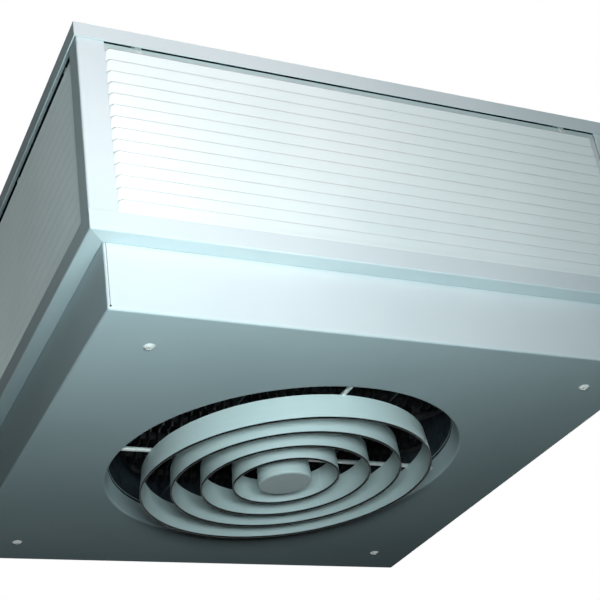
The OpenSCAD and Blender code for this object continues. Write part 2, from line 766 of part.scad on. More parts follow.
// hairpin of two finned legs, a return bend at the right and two terminals
module heating_element(index) {
    near = leg_y[2 * index - 2];
    far = leg_y[2 * index - 1];
    middle = (near + far) / 2;
    bend = leg_pitch / 2;
    room = bend_room - bend;
    x1 = sqrt(room * room - middle * middle);
    color(dark_steel) {
        for (y = [near, far]) {
            pin_x = -sqrt(terminal_ring * terminal_ring - y * y);
            x0 = pin_x + elbow_r;
            fin_out = sqrt(pow(drum_in - fin_gap, 2) - pow(abs(y) + fin_r, 2));
            fin_in = max(x0, -fin_out) + fin_gap;
            first = ceil(fin_in / fin_pitch - 0.5);
            last = floor((min(x1, fin_out) - fin_gap) / fin_pitch - 0.5);
            translate([0, y, z_element]) rotate([0, 90, 0])
                rotate_extrude($fn = 32) polygon(finned(x0, x1, first, last));
            translate([x0, y, z_element + elbow_r]) rotate([90, 0, 0]) rotate([0, 0, 180])
                rotate_extrude(angle = 90, $fn = 48) translate([elbow_r, 0]) circle(r = tube_r, $fn = 32);
            translate([pin_x, y, z_element + elbow_r])
                cylinder(r = tube_r, h = z_sheath_top - z_element - elbow_r, $fn = 32);
            translate([pin_x, y, z_sheath_top])
                cylinder(r = tube_r / 2, h = z_deck1 + terminal_h - z_sheath_top, $fn = 32);
        }
        translate([x1, middle, z_element]) rotate([0, 0, -90])
            rotate_extrude(angle = 180, $fn = 48) translate([bend, 0]) circle(r = tube_r, $fn = 32);
    }
}

// cross strap with a hole for each leg and ears that reach up to the deck
module element_strap(side) {
    x = side * strap_at;
    ear_in = sqrt(pow(inlet_r + 3, 2) - pow(strap_at - strap_t, 2));
    ear_out = sqrt(pow(drum_in - seat_gap, 2) - pow(strap_at + strap_t, 2));
    color(galvanised) difference() {
        union() {
            block([x - strap_t / 2, -ear_out, z_element - tube_r - 3],
                [x + strap_t / 2, ear_out, z_element + tube_r + 3]);
            for (turn = [0, 180]) mirror([0, turn / 180, 0])
                block([x - strap_t / 2, ear_in, z_element], [x + strap_t / 2, ear_out, z_deck0]);
        }
        for (y = leg_y) translate([x - strap_t, y, z_element]) rotate([0, 90, 0])
            cylinder(r = tube_r + bore_gap, h = 2 * strap_t);
    }
}

// fittings that clamp the terminals in the deck
module element_nuts() {
    color([0.72, 0.62, 0.35]) terminal_places() translate([0, 0, z_deck1]) difference() {
        cylinder(r = element_nut_r, h = element_nut_h, $fn = 6);
        translate([0, 0, -1]) cylinder(r = tube_r + joint_gap, h = element_nut_h + 2);
    }
}

// ---------------------------------------------------------------- fan

// curved sheet through the fan's middle, from one radius of camber to another
module camber_sheet(r0, r1) {
    translate([0, -blade_camber * sin(blade_angle), z_fan + blade_camber * cos(blade_angle)])
        rotate([0, 90, 0]) difference() {
            cylinder(r = r1, h = fan_r + 1, $fn = 128);
            translate([0, 0, -1]) cylinder(r = r0, h = fan_r + 3, $fn = 128);
        }
}

module fan_blade(index) {
    reach = 2 * fan_r;
    color(aluminium) rotate((index - 1) * 72) intersection() {
        camber_sheet(blade_camber - blade_t / 2, blade_camber + blade_t / 2);
        translate([0, 0, z_fan - fan_r]) difference() {
            cylinder(r = fan_r, h = reach, $fn = 128);
            translate([0, 0, -1]) cylinder(r = fan_disc_r + blade_gap, h = reach + 2);
        }
        translate([0, 0, z_fan - fan_r]) linear_extrude(reach) polygon([[0, 0],
            [reach * cos(blade_half), -reach * sin(blade_half)],
            [reach * cos(blade_half), reach * sin(blade_half)]]);
    }
}

// pressed disc with five arms that lie under the blades
module fan_spider() {
    arm_back = blade_camber + blade_t / 2 + joint_gap;
    color(steel) difference() {
        union() {
            translate([0, 0, z_fan - fan_disc_down]) cylinder(r = fan_disc_r, h = fan_disc_t);
            for (i = [0 : 4]) rotate(i * 72) intersection() {
                camber_sheet(arm_back, arm_back + fan_arm_t);
                block([fan_disc_r - fan_arm_in, -fan_arm_w / 2, z_fan - fan_disc_r],
                    [fan_disc_r + fan_arm_out, fan_arm_w / 2, z_fan + fan_disc_r]);
            }
        }
        translate([0, 0, z_fan - fan_disc_r]) cylinder(r = fan_hub_r + joint_gap, h = 2 * fan_disc_r);
    }
}

module fan_hub() {
    color(steel) difference() {
        union() {
            translate([0, 0, z_fan - fan_hub_down]) cylinder(r = fan_hub_r, h = fan_hub_down + fan_hub_up);
            translate([0, 0, z_fan - fan_disc_down + fan_disc_t])
                cylinder(r = fan_hub_r + fan_flange_w, h = fan_flange_t);
        }
        translate([0, 0, z_fan - fan_hub_down - 1])
            cylinder(r = shaft_r + joint_gap, h = fan_hub_down + fan_hub_up + 2);
    }
}

// ---------------------------------------------------------------- motor

// deep cup, open below, with a bearing seat under its top
module motor_shell() {
    color(dark_steel) difference() {
        translate([0, 0, z_motor0 + motor_cap]) cylinder(r = motor_r, h = motor_len - motor_cap);
        difference() {
            translate([0, 0, z_motor0]) cylinder(r = motor_r - motor_wall, h = motor_len - motor_wall);
            translate([0, 0, z_bearing_top]) cylinder(r = bearing_r + bearing_wall, h = bearing_h + 1);
        }
        translate([0, 0, z_bearing_top - 1]) cylinder(r = bearing_r + joint_gap, h = bearing_h + 1);
    }
}

module motor_end_cap() {
    color(dark_steel) difference() {
        union() {
            translate([0, 0, z_motor0]) cylinder(r = motor_r, h = motor_cap);
            translate([0, 0, z_motor0]) cylinder(r = bearing_r + bearing_wall, h = motor_cap + bearing_h);
        }
        translate([0, 0, z_bearing_low]) cylinder(r = bearing_r + joint_gap, h = bearing_h + 1);
        translate([0, 0, z_motor0 - 1]) cylinder(r = shaft_r + 1, h = motor_cap + 2);
        for (turn = [45 : 90 : 315]) rotate(turn) translate([motor_bolt_ring, 0, z_motor0 - 1])
            cylinder(r = motor_bolt_r + joint_gap, h = motor_cap + 2);
    }
}

module motor_stator() {
    color([0.55, 0.33, 0.18]) translate([0, 0, z_rotor]) difference() {
        cylinder(r = motor_r - motor_wall - joint_gap, h = stator_h);
        translate([0, 0, -1]) cylinder(r = stator_in, h = stator_h + 2);
    }
}

module motor_rotor() {
    color(steel) translate([0, 0, z_rotor]) difference() {
        cylinder(r = stator_in - air_gap, h = stator_h);
        translate([0, 0, -1]) cylinder(r = shaft_r + joint_gap, h = stator_h + 2);
    }
}

module motor_shaft() {
    color(steel) translate([0, 0, z_fan - shaft_tail])
        cylinder(r = shaft_r, h = z_bearing_top + bearing_h - 1 - z_fan + shaft_tail);
}

module motor_bearings() {
    color(steel) for (z = [z_bearing_low, z_bearing_top]) translate([0, 0, z]) difference() {
        cylinder(r = bearing_r, h = bearing_h);
        translate([0, 0, -1]) cylinder(r = shaft_r + run_gap, h = bearing_h + 2);
    }
}

// ring under the motor on four bent arms that stand on the deck
module motor_bracket() {
    color(galvanised) difference() {
        union() {
            translate([0, 0, z_motor0 - arm_t]) cylinder(r = motor_r + 4, h = arm_t);
            arm_turns() {
                block([motor_r, -arm_w / 2, z_motor0 - arm_t], [leg_ring + arm_t, arm_w / 2, z_motor0]);
                block([leg_ring, -arm_w / 2, z_deck1], [leg_ring + arm_t, arm_w / 2, z_motor0]);
                block([leg_ring, -arm_w / 2, z_deck1], [foot_reach, arm_w / 2, z_deck1 + arm_t]);
            }
        }
        translate([0, 0, z_motor0 - arm_t - 1]) cylinder(r = fan_hub_r + 6, h = arm_t + 2);
        for (turn = [45 : 90 : 315]) rotate(turn) translate([motor_bolt_ring, 0, z_motor0 - arm_t - 1])
            cylinder(r = motor_bolt_r + bore_gap, h = arm_t + 2);
        foot_places() translate([0, 0, z_deck1 - 1]) cylinder(r = screw_r + bore_gap, h = arm_t + 2);
    }
}

module motor_screws() {
    color(steel) for (turn = [45 : 90 : 315]) rotate(turn)
        translate([motor_bolt_ring, 0, z_motor0 - arm_t]) {
            translate([0, 0, -2.5]) cylinder(r = motor_bolt_r + 1.8, h = 2.5, $fn = 6);
            cylinder(r = motor_bolt_r, h = arm_t + motor_cap);
        }
}

// ---------------------------------------------------------------- controls

// open tray on the deck, with two tabs under its cover
module control_box() {
    color(galvanised) difference() {
        union() {
            difference() {
                block([-box_w / 2, box_y, z_deck1], [box_w / 2, box_y + box_d, z_box_top]);
                block([-box_w / 2 + sheet, box_y + sheet, box_floor],
                    [box_w / 2 - sheet, box_y + box_d - sheet, z_box_top + 1]);
            }
            box_screw_places() translate([0, 0, z_box_top - sheet])
                block([-box_tab / 2 - eps, -box_tab / 2, 0], [box_tab / 2 + eps, box_tab / 2, sheet]);
        }
        box_screw_places() translate([0, 0, z_box_top - screw_len])
            cylinder(r = screw_r + joint_gap, h = screw_len + 1);
        translate([0, box_y - 1, z_lead_hole]) rotate([-90, 0, 0])
            cylinder(r = 3 * lead_r + 2, h = sheet + 2);
    }
}

module control_box_cover() {
    over = seat_gap + sheet;
    color(galvanised) difference() {
        block([-box_w / 2 - over, box_y - over, z_box_top - cover_rim],
            [box_w / 2 + over, box_y + box_d + over, z_box_top + sheet]);
        block([-box_w / 2 - seat_gap, box_y - seat_gap, z_box_top - cover_rim - 1],
            [box_w / 2 + seat_gap, box_y + box_d + seat_gap, z_box_top]);
        box_screw_places() translate([0, 0, z_box_top - 1])
            cylinder(r = screw_r + bore_gap, h = sheet + 2);
    }
}

// barrier strip with three wells
module terminal_block() {
    well = (block_w - 8) / 3;
    color(moulding) translate([block_x, block_y, box_floor]) difference() {
        cube([block_w, block_d, block_h]);
        for (i = [0 : 2]) translate([2 + i * (well + 2), -1, block_h - 7]) cube([well, block_d + 2, 8]);
    }
}

module contactor_body() {
    color(moulding) translate([contactor_x, contactor_y, box_floor]) difference() {
        cube([contactor_w, contactor_d, contactor_h]);
        translate([(contactor_w - plunger_w) / 2 - seat_gap, (contactor_d - plunger_d) / 2 - seat_gap,
            contactor_h - plunger_in - plunger_travel - 1])
            cube([plunger_w + 2 * seat_gap, plunger_d + 2 * seat_gap, plunger_in + plunger_travel + 2]);
    }
}

module contactor_plunger() {
    color([0.75, 0.72, 0.62]) translate([contactor_x + (contactor_w - plunger_w) / 2,
        contactor_y + (contactor_d - plunger_d) / 2, box_floor + contactor_h - plunger_in])
        cube([plunger_w, plunger_d, plunger_in + plunger_up]);
}

// snap disc housing in a hole of the deck, its sensing cap in the warm air
module snap_disc() {
    translate([0, 0, z_deck1]) cylinder(r = cutout_flange, h = 1.5);
    translate([0, 0, z_deck1]) cylinder(r = cutout_r, h = cutout_up);
    translate([0, 0, z_deck0 - cutout_down]) cylinder(r = cutout_r - 1, h = cutout_down + sheet + eps);
}

module limit_switch() {
    color(moulding) cutout_place(1) difference() {
        snap_disc();
        translate([0, 0, z_deck1 + cutout_up - button_in - button_travel - 1])
            cylinder(r = button_r + seat_gap, h = button_in + button_travel + 2);
    }
}

module reset_button() {
    color([0.75, 0.1, 0.1]) cutout_place(1) translate([0, 0, z_deck1 + cutout_up - button_in])
        cylinder(r = button_r, h = button_in + button_up);
}

module fan_delay_switch() {
    color(moulding) cutout_place(-1) snap_disc();
}

// leads from the outer terminals and the motor to the control box, and the
// jumpers between neighbouring hairpins
module internal_leads() {
    z_stud = z_deck1 + terminal_h + lead_r + joint_gap;
    x_out = -sqrt(pow(terminal_ring, 2) - pow(leg_y[0], 2));
    x_mid = -sqrt(pow(terminal_ring, 2) - pow(leg_y[1], 2));
    x_low = -sqrt(pow(terminal_ring, 2) - pow(leg_y[2], 2));
    out = lead_run;
    z_hole = z_lead_hole;
    z_over = z_lead_hole + 3 * lead_r;
    y_box = box_y - lead_run / 5;
    inside = box_y + lead_run / 10;
    z_motor = z_motor1 - lead_run / 5;
    color([0.75, 0.2, 0.15]) {
        lead([[x_out, leg_y[5], z_stud], [x_out, leg_y[5] + out, z_stud],
            [-out / 2, y_box, z_hole], [-lead_r * 2, y_box, z_hole], [-lead_r * 2, inside, z_hole]]);
        lead([[x_out, leg_y[0], z_stud], [x_out - out, leg_y[0], z_stud],
            [x_out - out, leg_y[5] + out, z_stud], [-out / 2, y_box, z_over],
            [0, y_box, z_over], [0, inside, z_over]]);
        lead([[0, motor_r + joint_gap, z_motor], [0, motor_r + out / 3, z_motor],
            [lead_r * 2, y_box, z_hole], [lead_r * 2, inside, z_hole]]);
        for (s = [-1, 1]) lead([[x_mid, s * leg_y[1], z_stud], [x_low, s * leg_y[2], z_stud]]);
    }
}

// ---------------------------------------------------------------- nodes

ceiling_plate();
corner_post(-1, -1);  // corner_post_front_left
corner_post(1, -1);  // corner_post_front_right
corner_post(-1, 1);  // corner_post_rear_left
corner_post(1, 1);  // corner_post_rear_right
bottom_rail(180, post_front_w);  // bottom_rail_front
bottom_rail(0, post_front_w);  // bottom_rail_rear
bottom_rail(90, post_side_w);  // bottom_rail_left
bottom_rail(270, post_side_w);  // bottom_rail_right
louvre_panel(180, post_front_w);  // louvre_panel_front
louvre_panel(0, post_front_w);  // louvre_panel_rear
louvre_panel(90, post_side_w);  // louvre_panel_left
louvre_panel(270, post_side_w);  // louvre_panel_right
louvre_clips();
face_pan();
face_screws();
pan_bracket(-1, -1);  // pan_bracket_front_left
pan_bracket(1, -1);  // pan_bracket_front_right
pan_bracket(-1, 1);  // pan_bracket_rear_left
pan_bracket(1, 1);  // pan_bracket_rear_right
diffuser_ring(1);  // diffuser_ring_1
diffuser_ring(2);  // diffuser_ring_2
diffuser_ring(3);  // diffuser_ring_3
diffuser_ring(4);  // diffuser_ring_4
diffuser_hub();
diffuser_spider();
spider_nuts();
fan_deck();
heater_drum();
sheet_screws();
heating_element(1);  // heating_element_1
heating_element(2);  // heating_element_2
heating_element(3);  // heating_element_3
element_strap(-1);  // element_strap_left
element_strap(1);  // element_strap_right
element_nuts();
fan_hub();
fan_spider();
fan_blade(1);  // fan_blade_1
fan_blade(2);  // fan_blade_2
fan_blade(3);  // fan_blade_3
fan_blade(4);  // fan_blade_4
fan_blade(5);  // fan_blade_5
motor_shell();
motor_end_cap();
motor_stator();
motor_rotor();
motor_shaft();
motor_bearings();
motor_bracket();
motor_screws();
control_box();
control_box_cover();
terminal_block();
contactor_body();
contactor_plunger();
limit_switch();
reset_button();
fan_delay_switch();
internal_leads();
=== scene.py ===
"""Looks of a ceiling mounted fan heater, dressed over its CAD frame.

The heater hangs below z = 0, its front towards -Y. New pieces are drawn in
millimetres and made metres when they are finished.
"""

import bmesh
import bpy
import math
from mathutils import Matrix, Vector


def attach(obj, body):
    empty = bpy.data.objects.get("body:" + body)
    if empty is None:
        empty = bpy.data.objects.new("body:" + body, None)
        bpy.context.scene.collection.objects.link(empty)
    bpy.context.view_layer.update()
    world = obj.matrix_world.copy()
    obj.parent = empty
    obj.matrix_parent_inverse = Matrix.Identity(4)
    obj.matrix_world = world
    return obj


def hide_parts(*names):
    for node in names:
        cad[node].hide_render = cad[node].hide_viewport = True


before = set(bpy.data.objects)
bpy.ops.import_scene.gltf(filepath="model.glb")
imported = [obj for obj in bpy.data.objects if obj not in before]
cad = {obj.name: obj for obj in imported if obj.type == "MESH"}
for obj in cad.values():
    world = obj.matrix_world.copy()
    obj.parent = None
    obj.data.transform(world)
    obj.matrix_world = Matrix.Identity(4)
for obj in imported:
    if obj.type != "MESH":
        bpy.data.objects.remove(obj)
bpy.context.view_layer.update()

# ---------------------------------------------------------------------------
# Ceiling plate: a square of sheet steel with a turned-down rim, the band along
# the top of each side. It bolts to the ceiling and carries the whole heater.
# Baked matt enamel outside; its inside is painted near black, a painted shade for the shadowed gap
# under the band.

SHADE_X = 0.2955
SHADE_Y = 0.3035
SHADE_TOP = -0.001


class Wire:
    """A shader socket to write sums with: each operator adds its Math node."""

    def __init__(self, nodes, socket):
        self.nodes = nodes
        self.socket = socket

    def math(self, operation, *others):
        """Adds a Math node that works on this socket and the others."""
        return self.nodes.add("ShaderNodeMath", {"operation": operation}, (self, *others))

    def __add__(self, other):
        return self.math("ADD", other)

    def __rsub__(self, other):
        return self.nodes.add("ShaderNodeMath", {"operation": "SUBTRACT"}, (other, self))

    def __mul__(self, other):
        return self.math("MULTIPLY", other)

    __radd__ = __add__
    __rmul__ = __mul__


class Nodes:
    """The nodes that feed one shader."""

    def __init__(self, tree, shader):
        self.tree = tree
        self.shader = tree.nodes[shader]

    def add(self, kind, settings=None, values=(), out=0):
        """Adds any node: its type, its settings, then its sockets' values or links."""
        node = self.tree.nodes.new(kind)
        for key, value in (settings or {}).items():
            setattr(node, key, value)
        named = values.items() if isinstance(values, dict) else enumerate(values)
        for key, value in named:
            if isinstance(value, Wire):
                self.tree.links.new(value.socket, node.inputs[key])
            else:
                node.inputs[key].default_value = value
        return Wire(self, node.outputs[out])

    def feed(self, socket, wire):
        self.tree.links.new(wire.socket, self.shader.inputs[socket])


class Finish(Nodes):
    """One material of the heater, with the patterns that materials are made from."""

    def __init__(self, slot, **plain):
        self.slot = slot
        self.material = bpy.data.materials.new(slot + "_look")
        self.material.use_nodes = True
        super().__init__(self.material.node_tree, "Principled BSDF")
        for socket, value in plain.items():
            self.shader.inputs[socket.replace("_", " ")].default_value = value

    def place(self, stretch=(1, 1, 1)):
        """The place on the heater in metres, each axis stretched."""
        spot = self.add("ShaderNodeTexCoord", out="Object")
        return self.add("ShaderNodeMapping", {}, {"Vector": spot, "Scale": stretch})

    def axis(self, letter):
        """How far along one axis a place is, in metres."""
        spot = self.add("ShaderNodeTexCoord", out="Object")
        return self.add("ShaderNodeSeparateXYZ", {}, {"Vector": spot}, out=letter)

    def noise(self, scale, detail=2, spot=None):
        values = {"Vector": spot or self.place(), "Scale": scale, "Detail": detail}
        return self.add("ShaderNodeTexNoise", {}, values)

    def ease(self, value, low, high):
        """0 below low, 1 above high, and a soft step between them."""
        settings = {"interpolation_type": "SMOOTHSTEP"}
        return self.add("ShaderNodeMapRange", settings, {0: value, 1: low, 2: high})

    def between(self, share, low, high):
        """A colour between two colours."""
        return self.add("ShaderNodeMix", {"data_type": "RGBA"}, {0: share, 6: low, 7: high}, out=2)

    def bump(self, height, depth):
        """Raises the surface by a pattern, its depth in metres."""
        values = {"Height": height, "Distance": depth, "Strength": 1.0}
        self.feed("Normal", self.add("ShaderNodeBump", {}, values))


def tint(red, green, blue):
    """A colour as it is seen, 0 to 255, made linear."""
    parts = (part / 255 for part in (red, green, blue))
    return tuple(p / 12.92 if p < 0.04 else ((p + 0.055) / 1.055) ** 2.4 for p in parts) + (1,)


def enamel(slot, pale, deep, rough=0.45, gloss=0.01, glint=(1, 1, 1, 1), painted_shade=None):
    """Baked enamel on sheet, with faint clouds of tone and a faint orange peel.

    Glint is the colour of its highlights. The colour given for the ceiling plate's inside is painted
    shade: it darkens the inside to stand for the shadowed gap under the band.
    """
    finish = Finish(slot, Specular_IOR_Level=gloss, Specular_Tint=glint)
    cloud = finish.ease(finish.noise(6, detail=3), 0.3, 0.7)
    coat = finish.between(cloud, pale, deep)
    # Painted shade: the plate's underside is darkened, all but the strips over the left and right
    # panels.
    if painted_shade:
        shade_mask = finish.axis("X").math("ABSOLUTE").math("LESS_THAN", SHADE_X)
        shade_mask = shade_mask * finish.axis("Y").math("ABSOLUTE").math("LESS_THAN", SHADE_Y)
        shade_mask = shade_mask * finish.axis("Z").math("LESS_THAN", SHADE_TOP)
        coat = finish.between(shade_mask, coat, painted_shade)
    finish.feed("Base Color", coat)
    finish.feed("Roughness", rough + 0.1 * finish.noise(14))
    finish.bump(finish.noise(700, detail=1), depth=0.00003)
    return finish


def dress(finish, *names, edge=0.0):
    """Gives CAD nodes their finish, and with an edge width in mm rounds their edges."""
    for name in names:
        node = cad[name]
        for slot in node.material_slots:
            slot.material = finish.material
        if edge:
            weld = node.modifiers.new("weld", "WELD")
            weld.merge_threshold = 0.00001
            bevel = node.modifiers.new("edge", "BEVEL")
            bevel.width = edge / 1000
            bevel.segments = 2
            bevel.limit_method = "ANGLE"
            bevel.angle_limit = math.radians(40)
            node.modifiers.new("shade", "WEIGHTED_NORMAL")


CASING_PALE = tint(204, 213, 215)
CASING_DEEP = tint(197, 207, 210)

# The plate's inside gets a near-black painted shade.
plate = enamel("plate_enamel", CASING_PALE, CASING_DEEP, painted_shade=tint(26, 28, 30))
dress(plate, "ceiling_plate")

# ---------------------------------------------------------------------------
# Corner posts: angles folded from 1.2 mm sheet, one at each corner of the
# frame. Each is spot welded under the ceiling plate and stands on the bottom
# rails, where a hairline joint shows, with a narrower tongue down behind them.

FRAME_HALF = 302.2
SHEET = 1.2
RAIL_TOP = -204.6
POST_FRONT = 26.3
POST_SIDE = 22.1
POST_BEND = 2.2
POST_JOINT = 0.15
TONGUE_GAP = 0.4
TONGUE_FOOT = -222.0
TONGUE_RISE = 10
TONGUE_STEP = 9
CORNERS = {"front_left": (-1, -1), "front_right": (1, -1),
           "rear_left": (-1, 1), "rear_right": (1, 1)}


def soften(shape, edges, width, segments, clamp=False):
    """Rounds edges of a shape."""
    bmesh.ops.bevel(shape, geom=edges, offset=width, segments=segments, profile=0.5,
                    affect="EDGES", material=-1, clamp_overlap=clamp)


def extrude(shape, edges):
    """Extrudes edges on the spot, and gives the new vertices to be moved."""
    made = bmesh.ops.extrude_edge_only(shape, edges=edges)["geom"]
    return [part for part in made if isinstance(part, bmesh.types.BMVert)]


def fold(points, run, bend, thickness, outward):
    """Sheet folded along a line of points, each run by a vector; outward is the first face's."""
    shape = bmesh.new()
    line = [shape.verts.new(point) for point in points]
    edges = [shape.edges.new(pair) for pair in zip(line, line[1:])]
    bmesh.ops.translate(shape, verts=extrude(shape, edges), vec=run)
    shape.normal_update()
    middle = (Vector(points[0]) + Vector(points[1]) + Vector(run)) / 2
    first = min(shape.faces, key=lambda face: (face.calc_center_median() - middle).length)
    if first.normal.dot(Vector(outward)) < 0:
        bmesh.ops.reverse_faces(shape, faces=shape.faces)
    folds = [edge for edge in shape.edges if len(edge.link_faces) == 2]
    if folds and bend:
        soften(shape, folds, bend, segments=5, clamp=True)
    if thickness:
        bmesh.ops.solidify(shape, geom=shape.faces[:], thickness=thickness)
    return shape


def join(whole, part):
    """Adds a part's shape to a whole."""
    scrap = bpy.data.meshes.new("scrap")
    part.to_mesh(scrap)
    part.free()
    whole.from_mesh(scrap)
    bpy.data.meshes.remove(scrap)


def finish_piece(name, shape, finish, node, sharp=35):
    """Makes a shape the object, in metres, that shows in place of a CAD node of the casing."""
    bmesh.ops.scale(shape, vec=(0.001,) * 3, verts=shape.verts)
    bmesh.ops.remove_doubles(shape, verts=shape.verts, dist=0.0000002)
    mesh = bpy.data.meshes.new(name)
    shape.to_mesh(mesh)
    shape.free()
    for face in mesh.polygons:
        face.use_smooth = True
    mesh.set_sharp_from_angle(angle=math.radians(sharp))
    mesh.materials.append(finish.material)
    piece = bpy.data.objects.new(name, mesh)
    piece.modifiers.new("shade", "WEIGHTED_NORMAL").keep_sharp = True
    bpy.context.scene.collection.objects.link(piece)
    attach(piece, "casing")
    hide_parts(node)


casing = enamel("casing_enamel", CASING_PALE, CASING_DEEP)

for corner, (side_x, side_y) in CORNERS.items():
    post = bmesh.new()
    for half, foot, top, front_w, side_w in (
        (FRAME_HALF, RAIL_TOP + POST_JOINT, -SHEET, POST_FRONT, POST_SIDE),
        (FRAME_HALF - SHEET - TONGUE_GAP, TONGUE_FOOT, RAIL_TOP + TONGUE_RISE,
         POST_FRONT - TONGUE_STEP, POST_SIDE - TONGUE_STEP),
    ):
        plan = [(half - front_w, half, foot), (half, half, foot), (half, half - side_w, foot)]
        leg = fold(plan, (0, 0, top - foot), POST_BEND, SHEET, outward=(0, 1, 0))
        bmesh.ops.scale(leg, vec=(side_x, side_y, 1), verts=leg.verts)
        if side_x * side_y < 0:
            bmesh.ops.reverse_faces(leg, faces=leg.faces)
        join(post, leg)
    finish_piece(f"post_{corner}", post, casing, f"corner_post_{corner}")

# ---------------------------------------------------------------------------
# Bottom rails: folded channels under the louvres. The band returns inwards at
# its top, and at its foot turns in to the ledge that shows round the pan. The
# four are mitred and spot welded at the corners, where a fine seam shows.

LEDGE = -224.3
LEDGE_DROP = 2.6
LEDGE_DEPTH = 32
LID_DEPTH = 9
LID_TUCK = 0.1
RAIL_BEND = 1.6
RAIL_SPARE = 2
MITRE_GAP = 0.15
PAN_HALF = 286.3
PAN_GAP = 0.4
SIDES = {"front": 0, "right": 90, "rear": 180, "left": 270}


def turn_round(shape, degrees):
    """Turns a shape about the heater's upright axis."""
    turn = Matrix.Rotation(math.radians(degrees), 3, "Z")
    bmesh.ops.rotate(shape, cent=(0, 0, 0), matrix=turn, verts=shape.verts)


for side, degrees in SIDES.items():
    rail = bmesh.new()
    inner = PAN_HALF + PAN_GAP
    band = [(FRAME_HALF, RAIL_TOP), (FRAME_HALF, LEDGE), (inner, LEDGE - LEDGE_DROP),
            (inner, LEDGE), (FRAME_HALF - LEDGE_DEPTH, LEDGE)]
    lid = [(FRAME_HALF - SHEET + LID_TUCK, RAIL_TOP - LID_TUCK),
           (FRAME_HALF - LID_DEPTH, RAIL_TOP - LID_TUCK)]
    for section, outward in ((band, (0, -1, 0)), (lid, (0, 0, 1))):
        points = [(-FRAME_HALF - RAIL_SPARE, -out, z) for out, z in section]
        run = (2 * FRAME_HALF + 2 * RAIL_SPARE, 0, 0)
        strip = fold(points, run, RAIL_BEND, 0, outward)
        for way in (-1, 1):
            bmesh.ops.bisect_plane(strip, geom=strip.verts[:] + strip.edges[:] + strip.faces[:],
                                   plane_co=(-way * MITRE_GAP, 0, 0), plane_no=(way, 1, 0))
            spots = {face: face.calc_center_median() for face in strip.faces}
            spare = [face for face, spot in spots.items() if way * spot.x + spot.y > -MITRE_GAP]
            bmesh.ops.delete(strip, geom=spare, context="FACES")
        bmesh.ops.solidify(strip, geom=strip.faces[:], thickness=SHEET)
        join(rail, strip)
    turn_round(rail, degrees)
    finish_piece(f"rail_{side}", rail, casing, f"bottom_rail_{side}")

# ---------------------------------------------------------------------------
# Louvre panels: one sheet a side, lanced and formed into fourteen louvres. A
# border frames them and the lower edge is folded into a hem. The enamel is
# glossier than the frame's.

LOUVRES = 14
PITCH = 12.95
LAP = 0.8
LIP_TOP = -19.85
LIP_PLANE = FRAME_HALF - 1.5
LIP_DEPTH = 4.5
LIP_FALL = 0.5
LIP_BEND = 1.7
RISE = 5.5
PANEL_PLANE = LIP_PLANE - RISE
PANEL_SHEET = 0.9
PANEL_TOP = -10.6
PANEL_FOOT = LIP_TOP - LOUVRES * PITCH - 0.5
END_GAP = 1.0
END_SLOPE = 2.6
END_LEAN = 2.2
END_DRAW = 0.45
BORDER_LAP = 0.2
BORDER_REACH = 5
HEM_FOOT = RAIL_TOP + 0.1
HEM_TOP = RAIL_TOP + 4.4
HEM_BACK = LIP_PLANE - 1.2
HEM_FRONT = LIP_PLANE + 0.4
HEM_BEND = 0.8
HEM_GAP = 0.4

louvre_enamel = enamel("louvre_enamel", tint(206, 211, 211), tint(199, 206, 206), rough=0.4,
                       gloss=1.0, glint=(0.75, 1.0, 0.97, 1))

for side, degrees in SIDES.items():
    post_w = POST_SIDE if side in ("right", "left") else POST_FRONT
    half = FRAME_HALF - post_w
    field = half - END_GAP
    panel = bmesh.new()
    for row in range(LOUVRES):
        # From its rounded upper lip a louvre slopes in to its foot behind the next lip.
        lip = LIP_TOP - row * PITCH
        section = [(LIP_PLANE - LIP_DEPTH, lip - LIP_FALL), (LIP_PLANE, lip),
                   (PANEL_PLANE, lip - PITCH - LAP)]
        points = [(-field + END_SLOPE, -out, z) for out, z in section]
        run = (2 * (field - END_SLOPE), 0, 0)
        blade = fold(points, run, LIP_BEND, 0, outward=(0, 0, 1))
        # Its ends lean in at the lip, and are drawn down to the sheet but for a fine slit.
        for vert in blade.verts:
            lean = END_LEAN * max(0, -vert.co.y - PANEL_PLANE) / RISE
            vert.co.x -= math.copysign(lean, vert.co.x)
        ends = [edge for edge in blade.edges
                if len(edge.link_faces) == 1 and edge.verts[0].co.x * edge.verts[1].co.x > 0]
        for vert in extrude(blade, ends):
            lean = field - END_SLOPE - abs(vert.co.x)
            vert.co.x = math.copysign(field - END_DRAW * lean, vert.co.x)
            vert.co.y = -PANEL_PLANE
        bmesh.ops.solidify(blade, geom=blade.faces[:], thickness=PANEL_SHEET)
        join(panel, blade)
    edge = half + BORDER_REACH
    field_top = LIP_TOP + BORDER_LAP
    for low, high, left, right in ((field_top, PANEL_TOP, -edge, edge),
                                   (PANEL_FOOT, field_top, -edge, -field),
                                   (PANEL_FOOT, field_top, field, edge)):
        points = [(left, -PANEL_PLANE, high), (left, -PANEL_PLANE, low)]
        join(panel, fold(points, (right - left, 0, 0), 0, PANEL_SHEET, outward=(0, -1, 0)))
    section = [(PANEL_PLANE, PANEL_FOOT), (PANEL_PLANE, HEM_FOOT),
               (HEM_BACK, HEM_FOOT), (HEM_FRONT, HEM_TOP)]
    points = [(-half + HEM_GAP, -out, z) for out, z in section]
    run = (2 * (half - HEM_GAP), 0, 0)
    join(panel, fold(points, run, HEM_BEND, PANEL_SHEET, outward=(0, -1, 0)))
    turn_round(panel, degrees)
    finish_piece(f"louvres_{side}", panel, louvre_enamel, f"louvre_panel_{side}", sharp=50)

# ---------------------------------------------------------------------------
# Louvre clips: bright spring steel clips, welded under the ceiling plate, that
# hook over the panels' upper edges.


